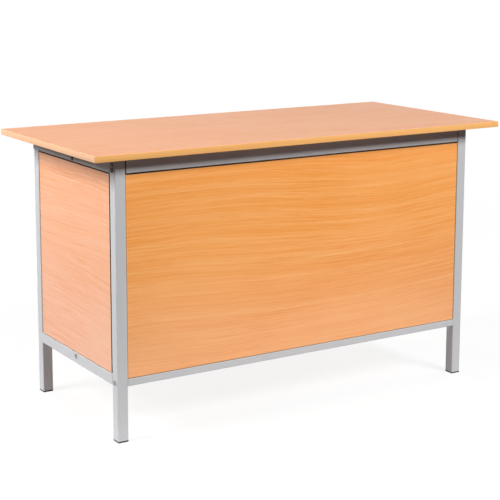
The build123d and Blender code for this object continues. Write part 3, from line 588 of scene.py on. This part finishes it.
# ------------------------------------------------------------------ boards
class DESK_OT_boards(bpy.types.Operator):
    """Beech on the worktop, panels, pedestal, drawer front and door"""
    bl_idname = "desk.boards"
    bl_label = "Beech Boards"

    def execute(self, context):
        boards = context.scene.desk_boards
        warm = [list(tint) for tint in (boards.pale, boards.tone, boards.line)]
        # The side panels' colours hold painted sheen.
        light = [list(tint) for tint in (boards.side_sheened_pale, boards.side_sheened_tone,
                                         boards.side_sheened_line)]
        # The worktop's colours hold painted shade.
        top = [list(tint) for tint in (boards.top_shaded_pale, boards.top_shaded_tone, boards.top_shaded_line)]
        for name, along, across, colours, start, *names in (
                ("Beech worktop", "X", "Y", top, 0.3, "worktop"),
                ("Beech front panel", "X", "Z", warm, 1.7, "front_panel"),
                ("Beech side panels", "Y", "Z", light, 4.1, "left_side_panel",
                 "right_side_panel"),
                ("Beech pedestal sides", "Y", "Z", warm, 6.2, "pedestal_left_side",
                 "pedestal_right_side"),
                ("Beech pedestal levels", "X", "Y", warm, 7.9, "pedestal_top",
                 "pedestal_divider", "pedestal_floor", "pedestal_shelf"),
                ("Beech drawer front", "X", "Z", warm, 9.3, "drawer_front"),
                ("Beech door", "X", "Z", warm, 11.1, "door"),
                ("Beech thin edging", "X", "Z", warm, 13.7, "pedestal_edging",
                 "drawer_front_edging", "door_edging")):
            finish_nodes(beech(name, along, across, colours, start), *names)
        # Painted shade: dark panel edging makes the slots beside the panels read dark.
        finish_nodes(plain("Panel edging", list(boards.panel_edging), waves=500.0,
                           speckle=0.1, roughness=0.5, depth=0.02 * mm, specular=0.1),
                     "panel_edging")
        return {"FINISHED"}


class DESK_OT_worktop_edging(bpy.types.Operator):
    """Rounded edging round the worktop, with fine lines along it"""
    bl_idname = "desk.worktop_edging"
    bl_label = "Worktop Edging"

    def execute(self, context):
        boards = context.scene.desk_boards
        material, tree, shader = new_material("Worktop edging", specular=0.15)
        axes = node(tree, "SeparateXYZ",
                    {0: node(tree, "TexCoord").outputs["Object"]}).outputs
        along = calc(tree, "ADD", axes["X"], axes["Y"])
        strip = node(tree, "CombineXYZ", {"X": along, "Y": axes["Z"]}).outputs[0]
        lines = stretched_noise(tree, strip, (3.0, 420.0, 1.0), 3.0, 0.6)
        dashes = stretched_noise(tree, strip, (40.0, 900.0, 1.0), 2.0, 0.5)
        amount = calc(tree, "ADD", ranged(tree, lines, 0.4, 0.7, 0.0, 0.55),
                      ranged(tree, dashes, 0.5, 0.8, 0.0, 0.25))
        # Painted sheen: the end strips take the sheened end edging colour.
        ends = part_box("worktop")[1].x
        on_end = calc(tree, "GREATER_THAN", calc(tree, "ABSOLUTE", axes["X"], 0.0), ends)
        base = mixed(tree, on_end, list(boards.edging), list(boards.end_edging_sheened))
        line = mixed(tree, 1.0, base, list(boards.edging_line), "MULTIPLY")
        tint = mixed(tree, amount, base, line)
        rough = ranged(tree, dashes, 0.3, 0.7, 0.44, 0.56)
        join_surface(tree, shader, tint, rough, lines, depth=0.02 * mm)
        mesh = bmesh.new()
        for low, high in solid_boxes("worktop_edging"):
            add_block(mesh, low, high, boards.edging_radius)
        finish_piece("worktop_edge_bands", mesh, "frame", material,
                     ["worktop_edging"])
        return {"FINISHED"}


class DESK_OT_faced_boards(bpy.types.Operator):
    """Off-white drawer boards and hardboard"""
    bl_idname = "desk.faced_boards"
    bl_label = "Drawer Boards"

    def execute(self, context):
        boards = context.scene.desk_boards
        faced = plain("Drawer board", list(boards.white), waves=700.0, speckle=0.03,
                      roughness=0.42, depth=0.02 * mm)
        finish_nodes(faced, *nodes_in_slot("drawer_board"))
        pressed = plain("Hardboard", list(boards.hardboard), waves=450.0, speckle=0.08,
                        roughness=0.58, depth=0.05 * mm)
        finish_nodes(pressed, *nodes_in_slot("white_hardboard"))
        return {"FINISHED"}


# ------------------------------------------------------------------ steel frame
class DESK_OT_steel_frame(bpy.types.Operator):
    """Powder coat on the tubes and tabs, painted shade on the lower rails' ledges, and the
    weld beads inside the side frames
    """
    bl_idname = "desk.steel_frame"
    bl_label = "Steel Frame"

    def execute(self, context):
        metals = context.scene.desk_metals
        coat = {"waves": 1100.0, "speckle": 0.035, "roughness": 0.46, "depth": 0.02 * mm,
                "specular": 0.1}
        paint = plain("Frame paint", list(metals.paint), **coat)
        finish_nodes(paint, *nodes_in_slot("frame_paint"))
        # Painted shade: above their ledge the lower rails' paint turns to the ledge shade
        # colour, darkening the ledge where the lamps light it.
        for rails in (("left_bottom_rail", "right_bottom_rail"), ("front_bottom_rail",)):
            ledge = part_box(rails[0])[1].z - 0.5 * mm
            shaded_ledge_paint = plain(f"Paint of {rails[0]}", list(metals.paint), **coat,
                          upper=(ledge, list(metals.ledge_shade)))
            finish_nodes(shaded_ledge_paint, *rails)
        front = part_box("left_front_leg")[1]
        rear_low, rear_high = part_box("left_rear_leg")
        top_low, top_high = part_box("left_top_rail")
        bottom_low, bottom_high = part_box("left_bottom_rail")
        seams = (((front.y, top_low.z), (front.y, top_high.z)),
                 ((front.y, bottom_low.z), (front.y, bottom_high.z)),
                 ((rear_low.y, bottom_low.z), (rear_low.y, bottom_high.z)),
                 ((rear_low.y, top_low.z), (rear_high.y, top_low.z)))
        mesh = bmesh.new()
        for start, end in seams:
            for inner_face in (front.x, -front.x):
                self.add_bead(mesh, Vector((inner_face, *start)), Vector((inner_face, *end)),
                              metals)
        finish_piece("weld_beads", mesh, "frame", paint, smooth=180)
        return {"FINISHED"}

    @staticmethod
    def add_bead(mesh, start, end, metals):
        """A rippled, flattened bead along a seam on a face square to X."""
        run = end - start
        half_run = run.length / 2 - 1.5 * mm
        ripples = run.length / (2.2 * mm)
        ripple_depth = 0.16
        taper_share = 1 / 6
        made = bmesh.ops.create_uvsphere(mesh, u_segments=12, v_segments=48,
                                         radius=1.0)["verts"]
        for vert in made:
            along = math.asin(max(-1.0, min(1.0, vert.co.z))) / (math.pi / 2)
            ring = math.hypot(vert.co.x, vert.co.y) or 1.0
            taper = min(1.0, (1.0 - abs(along)) / taper_share) ** 0.5
            swell = taper * (1.0 + ripple_depth * math.cos(math.pi * ripples * along))
            vert.co = (vert.co.x / ring * swell * metals.bead_height,
                       vert.co.y / ring * swell * metals.bead_width / 2,
                       along * half_run)
        upright = abs(run.z) > abs(run.y)
        turn = Matrix.Rotation(0 if upright else -math.pi / 2, 4, "X")
        bmesh.ops.transform(mesh, matrix=Matrix.Translation((start + end) / 2) @ turn,
                            verts=made)


class DESK_OT_plastics(bpy.types.Operator):
    """Black mouldings: plugs, caps, feet and spacers"""
    bl_idname = "desk.plastics"
    bl_label = "Plastic Mouldings"

    def execute(self, context):
        black = plain("Black plastic", list(context.scene.desk_metals.black), waves=900.0,
                      speckle=0.20, roughness=0.62, depth=0.04 * mm, specular=0.05)
        finish_nodes(black, *nodes_in_slot("black_plastic"),
                     *nodes_in_slot("spacer_plastic"))
        return {"FINISHED"}


class DESK_OT_frame_bolts(bpy.types.Operator):
    """Pan head bolts with cross recesses through the side frames; those of the top rails
    darkened as painted shade
    """
    bl_idname = "desk.frame_bolts"
    bl_label = "Frame Bolts"

    def execute(self, context):
        metals = context.scene.desk_metals
        top_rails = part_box("left_top_rail")[0].z
        # Painted shade: bolt heads higher than the top rails' underside get the shaded top
        # bolt colour.
        plated = metal("Bolt steel", list(metals.bolt), brushing=(300.0, 300.0, 300.0),
                       roughness=0.24, upper=(top_rails, list(metals.shaded_top_bolt)))
        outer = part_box("right_front_leg")[1].x
        boxes = solid_boxes("frame_bolts")
        low, high = boxes[0]
        radius = (high.y - low.y) / 2
        shank = radius / 2
        tip = -(high.x + outer)
        height = -outer - low.x
        mesh = bmesh.new()
        add_turned(mesh, [(0, tip), (radius * 0.4, tip), (shank, tip + 1 * mm), (shank, 0),
                          *pan_head(radius, height, bolt_crown)])
        close_with_recess(mesh, height, metals.recess_arm, metals.recess_half,
                          metals.recess_depth)
        pattern = pattern_mesh("frame_bolt", mesh)
        places = []
        for index, (low, high) in enumerate(boxes):
            middle = (low + high) / 2
            side = math.copysign(1.0, middle.x)
            places.append(facing((side * outer, middle.y, middle.z), (side, 0, 0),
                                 index * turn_step))
        finish_piece("frame_bolt_heads", copies(pattern, places), "frame",
                     plated, ["frame_bolts"])
        return {"FINISHED"}


class DESK_OT_tab_screws(bpy.types.Operator):
    """Screws through the welded tabs into the worktop and panels"""
    bl_idname = "desk.tab_screws"
    bl_label = "Tab Screws"

    def execute(self, context):
        metal("Zinc", list(context.scene.desk_metals.zinc), brushing=(300.0, 300.0, 300.0),
              roughness=0.30)
        off_middle = 3 * mm
        faces = []
        for low, high in solid_boxes("fixing_tabs"):
            size, middle = high - low, (low + high) / 2
            if size.z < min(size.x, size.y):
                faces.append(((middle.x, middle.y, low.z), (0, 0, -1)))
            elif size.y < size.x:
                inward = -math.copysign(off_middle, middle.x)
                faces.append(((middle.x + inward, high.y, middle.z), (0, 1, 0)))
            elif middle.x < 0:
                faces.append(((high.x, middle.y, middle.z), (1, 0, 0)))
            else:
                faces.append(((low.x, middle.y, middle.z), (-1, 0, 0)))
        screws("tab_screws", "frame", faces)
        return {"FINISHED"}


# ------------------------------------------------------------------ pedestal fittings
class DESK_OT_handles(bpy.types.Operator):
    """Arched handles with rounded edges, and their screws inside"""
    bl_idname = "desk.handles"
    bl_label = "Handles"

    def execute(self, context):
        metals = context.scene.desk_metals
        screw_inset = 7 * mm
        for owner, along in (("drawer", 0), ("door", 2)):
            brushing = [60.0, 60.0, 60.0]
            brushing[2 - along] = 1400.0
            satin = metal(f"{owner.title()} handle metal", list(metals.handle), brushing,
                          roughness=0.30)
            mesh = softened(f"{owner}_handle", 1.0 * mm, segments=3, sharp=35.0)
            finish_piece(f"{owner}_bow_handle", mesh, owner, satin,
                         [f"{owner}_handle"], smooth=50.0)
            low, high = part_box(f"{owner}_handle")
            middle = (low + high) / 2
            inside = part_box("drawer_front" if owner == "drawer" else "door")[0].y
            half = (high[along] - low[along]) / 2 - screw_inset
            faces = []
            for side in (-1, 1):
                place = Vector((middle.x, inside, middle.z))
                place[along] += side * half
                faces.append((place, (0, -1, 0)))
            screws(f"{owner}_handle_screws", owner, faces)
        return {"FINISHED"}


class DESK_OT_locks(bpy.types.Operator):
    """Cam locks with softened edges"""
    bl_idname = "desk.locks"
    bl_label = "Locks"

    def execute(self, context):
        metals = context.scene.desk_metals
        bright = metal("Lock nickel", list(metals.nickel), brushing=(500.0, 60.0, 500.0),
                       roughness=0.20)
        for owner in ("drawer", "door"):
            turning = f"{owner}_lock"
            for part, body, radius in (("housing", owner, 0.5 * mm),
                                       ("core", turning, 0.3 * mm),
                                       ("tongue", turning, 0.3 * mm)):
                node_name = f"{owner}_lock_{part}"
                finish_piece(f"{node_name}_finished", softened(node_name, radius), body,
                             bright, [node_name])
        return {"FINISHED"}


class DESK_OT_hinges(bpy.types.Operator):
    """Nickel plated hinges, strikes and shelf pins, with their screws"""
    bl_idname = "desk.hinges"
    bl_label = "Hinges and Strikes"

    def execute(self, context):
        metals = context.scene.desk_metals
        plated = metal("Plated steel", list(metals.nickel), brushing=(80.0, 80.0, 900.0),
                       roughness=0.27)
        finish_nodes(plated, *nodes_in_slot("plated_steel"))
        pin_low, pin_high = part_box("hinge_pins")
        axis_x = (pin_low.x + pin_high.x) / 2
        leaf_clear = 0.2 * mm
        hinge_screw_depth = 10 * mm
        for node_name, body, outward in (("hinge_cabinet_leaves", "frame", 1),
                                         ("hinge_door_leaves", "door", -1)):
            leaf_face = axis_x - outward * leaf_clear
            faces = []
            for low, high in solid_boxes(node_name):
                depth = low.y + hinge_screw_depth
                for share_up in (0.15, 0.5, 0.85):
                    height = low.z + share_up * (high.z - low.z)
                    faces.append(((leaf_face, depth, height), (outward, 0, 0)))
            screws(f"{body}_hinge_screws", body, faces, flat=0.05)
        strike_screw_depth = 6 * mm
        strike_sheet = 1.5 * mm
        faces = []
        for low, high in solid_boxes("lock_strikes"):
            place = ((low.x + high.x) / 2, low.y + strike_screw_depth, high.z - strike_sheet)
            faces.append((place, (0, 0, -1)))
        screws("strike_screws", "frame", faces, flat=0.6)
        return {"FINISHED"}


class DESK_OT_runners(bpy.types.Operator):
    """Coated runners with rounded nylon rollers"""
    bl_idname = "desk.runners"
    bl_label = "Drawer Runners"

    def execute(self, context):
        metals = context.scene.desk_metals
        coat = plain("Runner paint", list(metals.runner), waves=1200.0, speckle=0.03,
                     roughness=0.30, depth=0.01 * mm)
        finish_nodes(coat, *nodes_in_slot("runner_paint"))
        nylon = plain("Nylon", list(metals.nylon), waves=600.0, speckle=0.04,
                      roughness=0.32, depth=0.01 * mm)
        for owner in ("cabinet", "drawer"):
            name = f"{owner}_rollers"
            finish_piece(f"{name}_rounded", softened(name, 0.7 * mm), name,
                         nylon, [name])
        return {"FINISHED"}


# ------------------------------------------------------------------ studio
class DESK_OT_studio(bpy.types.Operator):
    """Floor, surroundings, soft lights and the camera"""
    bl_idname = "desk.studio"
    bl_label = "Studio"

    def execute(self, context):
        studio = context.scene.desk_studio
        scene = context.scene
        scene.view_settings.view_transform = "Standard"
        self.make_world(scene, studio)
        self.make_floor(scene, studio)
        self.make_lights(scene, studio)
        data = bpy.data.cameras.new("Camera")
        data.lens = studio.lens
        data.shift_x = studio.shift_x
        data.shift_y = studio.shift_y
        data.clip_end = 100.0
        camera = bpy.data.objects.new("Camera", data)
        camera.location = studio.place
        camera.rotation_euler = (math.pi / 2 - studio.tilt, 0, -studio.heading)
        scene.collection.objects.link(camera)
        scene.camera = camera
        return {"FINISHED"}

    @staticmethod
    def seen_directly(tree):
        """1 for a ray from the camera, a reflection or through glass."""
        path = node(tree, "LightPath").outputs
        shown = calc(tree, "MAXIMUM", path["Is Camera Ray"], path["Is Glossy Ray"])
        return calc(tree, "MAXIMUM", shown, path["Is Transmission Ray"])

    def make_world(self, scene, studio):
        """White where it is seen, and an even soft light everywhere else."""
        world = bpy.data.worlds.new("Surroundings")
        scene.world = world
        world.use_nodes = True
        tree = world.node_tree
        strength = node(tree, "MapRange", {0: self.seen_directly(tree), 3: studio.sky,
                                           4: 1.0}).outputs[0]
        background = tree.nodes["Background"]
        background.inputs["Color"].default_value = (1, 1, 1, 1)
        tree.links.new(strength, background.inputs["Strength"])

    def make_floor(self, scene, studio):
        """A pale floor that keeps the desk's shadow and fades into white."""
        material = bpy.data.materials.new("Floor")
        material.use_nodes = True
        tree = material.node_tree
        tree.nodes.remove(tree.nodes["Principled BSDF"])
        place = node(tree, "TexCoord").outputs["Object"]
        away = node(tree, "VectorMath", {0: place}, operation="LENGTH").outputs["Value"]
        clear = ranged(tree, away, studio.clear_from, studio.clear_to, studio.floor_clear,
                       1.0)
        seen = self.seen_directly(tree)
        factor = calc(tree, "MULTIPLY", clear, seen)
        fading = ranged(tree, away, studio.bounce_from, studio.bounce_to)
        bounce = mixed(tree, fading, list(studio.floor_bounce), list(studio.floor_far))
        tint = mixed(tree, seen, bounce, list(studio.floor))
        matt = node(tree, "BsdfDiffuse", {"Color": tint}).outputs[0]
        white = node(tree, "Emission", {"Color": (1, 1, 1, 1), "Strength": 1.0}).outputs[0]
        surface = node(tree, "MixShader", {0: factor, 1: matt, 2: white}).outputs[0]
        tree.links.new(surface, tree.nodes["Material Output"].inputs["Surface"])
        mesh = bmesh.new()
        bmesh.ops.create_grid(mesh, x_segments=1, y_segments=1, size=studio.floor_size / 2)
        data = bpy.data.meshes.new("Floor")
        mesh.to_mesh(data)
        mesh.free()
        data.materials.append(material)
        floor = bpy.data.objects.new("Floor", data)
        floor.location.z = cad_box[0].z
        scene.collection.objects.link(floor)

    @staticmethod
    def make_lights(scene, studio):
        """Soft boxes aimed at the worktop's middle, and mirrored in nothing.

        Each has a level, an azimuth in degrees from the front towards the left, a height
        in degrees, and a distance and a size in metres.
        """
        aim = (cad_box[0] + cad_box[1]) / 2
        aim.z = cad_box[1].z
        for name, level, azimuth, elevation, away, size in (
                ("Key", studio.key, 95.0, 31.0, 4.2, 1.8),
                ("Front", studio.front, -18.0, 35.0, 6.0, 2.0),
                ("Rear", studio.rear, 160.0, 16.0, 6.0, 3.4),
                ("Side", studio.side, -108.0, 9.0, 6.0, 3.4)):
            data = bpy.data.lights.new(name, "AREA")
            data.shape = "SQUARE"
            data.size = size
            data.energy = level * (math.pi * away) ** 2
            light = bpy.data.objects.new(name, data)
            turn, lift = math.radians(azimuth), math.radians(elevation)
            back = Vector((-math.sin(turn) * math.cos(lift),
                           -math.cos(turn) * math.cos(lift), math.sin(lift)))
            light.location = aim + back * away
            light.rotation_euler = back.to_track_quat("Z", "Y").to_euler()
            light.visible_glossy = False
            scene.collection.objects.link(light)


# ------------------------------------------------------------------ add-on
operators = (DESK_OT_boards, DESK_OT_worktop_edging, DESK_OT_faced_boards,
             DESK_OT_steel_frame, DESK_OT_plastics, DESK_OT_frame_bolts,
             DESK_OT_tab_screws, DESK_OT_handles, DESK_OT_locks, DESK_OT_hinges,
             DESK_OT_runners, DESK_OT_studio)


class DESK_PT_sidebar(bpy.types.Panel):
    """Settings and steps of the desk"""
    bl_idname = "DESK_PT_sidebar"
    bl_label = "Teacher Desk"
    bl_space_type = "VIEW_3D"
    bl_region_type = "UI"
    bl_category = "Desk"

    def draw(self, context):
        for group_name, group in settings_groups.items():
            box = self.layout.box()
            for setting in group.__annotations__:
                box.prop(getattr(context.scene, group_name), setting)
        for operator in operators:
            self.layout.operator(operator.bl_idname)


classes = (*settings_groups.values(), *operators, DESK_PT_sidebar)


def register():
    for each in classes:
        bpy.utils.register_class(each)
    for name, group in settings_groups.items():
        setattr(bpy.types.Scene, name, bpy.props.PointerProperty(type=group))


def unregister():
    for name in settings_groups:
        delattr(bpy.types.Scene, name)
    for each in reversed(classes):
        bpy.utils.unregister_class(each)


def main():
    """Build every step in order."""
    register()
    for operator in operators:
        getattr(bpy.ops.desk, operator.bl_idname.split(".")[1])()
    bpy.context.view_layer.update()


if __name__ == "__main__":
    main()
